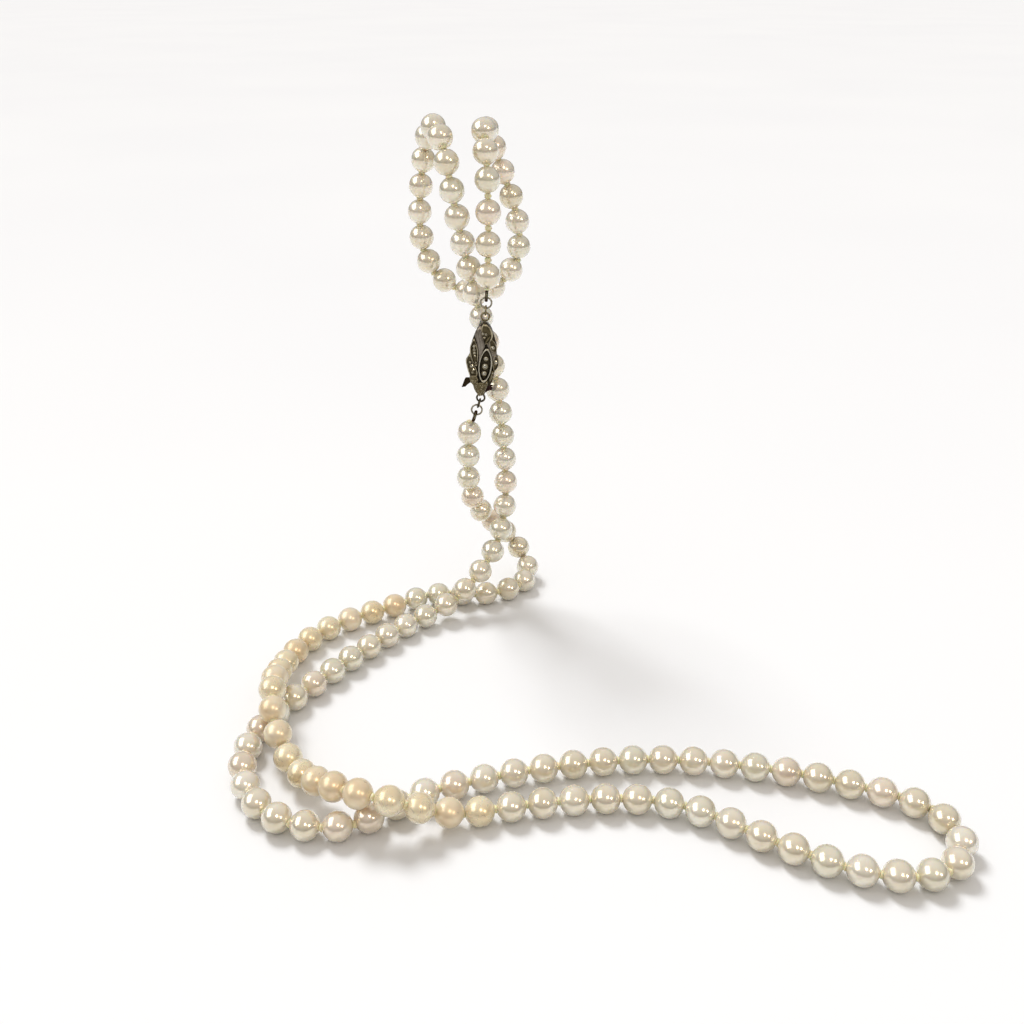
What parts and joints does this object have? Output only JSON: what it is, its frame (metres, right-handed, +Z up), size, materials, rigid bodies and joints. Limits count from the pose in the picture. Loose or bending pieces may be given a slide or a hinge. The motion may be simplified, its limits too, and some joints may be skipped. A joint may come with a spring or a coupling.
{
  "type": "pearl necklace",
  "caption": "Long knotted strand of round cream pearls closed by a small marcasite-set silver tongue clasp, draped over an edge.",
  "frame": {"origin": "the point of the supporting edge that the left fall of the strand hangs on", "axes": "+Z up, +X along the supporting edge towards the end loop, +Y away from the viewer, behind the edge"},
  "size_m": [0.17, 0.1557, 0.1393],
  "materials": {
    "pearl_nacre": "glossy cream nacre, some pearls satin",
    "silk_thread": "pale yellow twisted silk",
    "oxidised_silver": "cast silver with dark recesses",
    "bright_silver": "polished silver wire, worn",
    "marcasite": "faceted, bright metallic",
    "bullion_wire": "tarnished coiled wire, dark brown"
  },
  "bodies": {
    "strand_and_tongue": {"lower_bullion_loop": "bullion_wire", "lower_eye": "bright_silver", "main_end_pearl_1": "pearl_nacre", "main_end_pearl_2": "pearl_nacre", "main_pearl_run_01": "pearl_nacre", "main_pearl_run_02": "pearl_nacre", "main_pearl_run_03": "pearl_nacre", "main_pearl_run_04": "pearl_nacre", "main_pearl_run_05": "pearl_nacre", "main_pearl_run_06": "pearl_nacre", "main_pearl_run_07": "pearl_nacre", "main_pearl_run_08": "pearl_nacre", "main_pearl_run_09": "pearl_nacre", "main_pearl_run_10": "pearl_nacre", "main_pearl_run_11": "pearl_nacre", "main_pearl_run_12": "pearl_nacre", "main_pearl_run_13": "pearl_nacre", "main_pearl_run_14": "pearl_nacre", "main_pearl_run_15": "pearl_nacre", "main_pearl_run_16": "pearl_nacre", "main_pearl_run_17": "pearl_nacre", "main_pearl_run_18": "pearl_nacre", "main_pearl_run_19": "pearl_nacre", "main_pearl_run_20": "pearl_nacre", "main_pearl_run_21": "pearl_nacre", "main_pearl_run_22": "pearl_nacre", "main_pearl_run_23": "pearl_nacre", "main_pearl_run_24": "pearl_nacre", "main_pearl_run_25": "pearl_nacre", "main_pearl_run_26": "pearl_nacre", "main_pearl_run_27": "pearl_nacre", "main_pearl_run_28": "pearl_nacre", "main_pearl_run_29": "pearl_nacre", "main_pearl_run_30": "pearl_nacre", "main_silk_thread": "silk_thread", "tongue_blade": "oxidised_silver"},
    "housing_end": {"clasp_front_plate": "oxidised_silver", "clasp_housing": "oxidised_silver", "marcasite_bottom": "marcasite", "marcasite_middle": "marcasite", "marcasite_top": "marcasite", "navette_bezel": "bright_silver", "upper_bullion_loop": "bullion_wire", "upper_end_pearl_1": "pearl_nacre", "upper_end_pearl_2": "pearl_nacre", "upper_end_pearl_3": "pearl_nacre", "upper_eye": "bright_silver", "upper_pearl_run_01": "pearl_nacre", "upper_pearl_run_02": "pearl_nacre", "upper_pearl_run_03": "pearl_nacre", "upper_silk_thread": "silk_thread"},
    "spring_leaf": {"tongue_spring_leaf": "oxidised_silver"},
    "upper_link": {"upper_link": "bright_silver"},
    "upper_jump_ring": {"upper_jump_ring": "bright_silver"},
    "lower_link": {"lower_link": "bright_silver"},
    "lower_jump_ring": {"lower_jump_ring": "bright_silver"}
  },
  "joints": [
    {"name": "clasp_release", "type": "slide", "parent": "strand_and_tongue", "child": "housing_end", "axis": [0.0663, 0, 0.9978], "range_m": [0, 0.009]},
    {"name": "thumb_tab_press", "type": "hinge", "parent": "strand_and_tongue", "child": "spring_leaf", "pos_m": [0.01318, -0.0149, -0.05101], "axis": [0.9978, 0, -0.0663], "range_deg": [0, 3.5], "stiffness_Nm_per_rad": 0.05},
    {"name": "upper_link_twist", "type": "hinge", "parent": "housing_end", "child": "upper_link", "pos_m": [0.01363, -0.0145, -0.04424], "axis": [0.0663, 0, 0.9978], "range_deg": [-18, 18]},
    {"name": "upper_ring_twist", "type": "hinge", "parent": "housing_end", "child": "upper_jump_ring", "pos_m": [0.01375, -0.0145, -0.04234], "axis": [0.0663, 0, 0.9978], "range_deg": [-18, 18]},
    {"name": "lower_link_twist", "type": "hinge", "parent": "strand_and_tongue", "child": "lower_link", "pos_m": [0.01185, -0.0145, -0.06914], "axis": [-0.3057, 0, -0.9521], "range_deg": [-18, 18]},
    {"name": "lower_ring_twist", "type": "hinge", "parent": "strand_and_tongue", "child": "lower_jump_ring", "pos_m": [0.01127, -0.0145, -0.07095], "axis": [-0.3057, 0, -0.9521], "range_deg": [-18, 18]}
  ]
}
